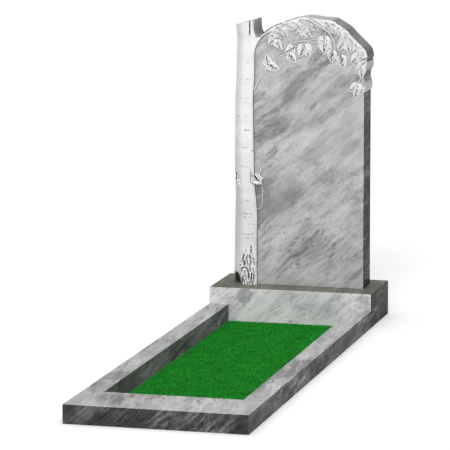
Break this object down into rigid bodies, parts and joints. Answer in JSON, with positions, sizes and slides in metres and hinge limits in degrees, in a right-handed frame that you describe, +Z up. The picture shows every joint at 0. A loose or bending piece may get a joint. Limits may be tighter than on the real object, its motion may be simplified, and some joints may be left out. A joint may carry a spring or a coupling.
{
  "type": "upright headstone with kerb set",
  "caption": "Upright marble headstone carved with a birch trunk, leafy twigs and a leafy arch, on a plinth, with a low grave kerb and a turf mat.",
  "frame": {"origin": "on the ground, under the middle of the whole set's box", "axes": "+Z up, -Y towards the viewer of the carved face, +Y along the grave towards the headstone, +X to the viewer's right"},
  "size_m": [0.7, 2.36, 1.2855],
  "materials": {
    "carved_marble": "satin",
    "plinth_marble": "polished",
    "kerb_marble": "polished",
    "turf": "matte"
  },
  "bodies": {
    "root": {"stele": "carved_marble", "plinth": "plinth_marble", "kerb_front": "kerb_marble", "kerb_left": "kerb_marble", "kerb_right": "kerb_marble", "turf_mat": "turf"}
  },
  "joints": []
}
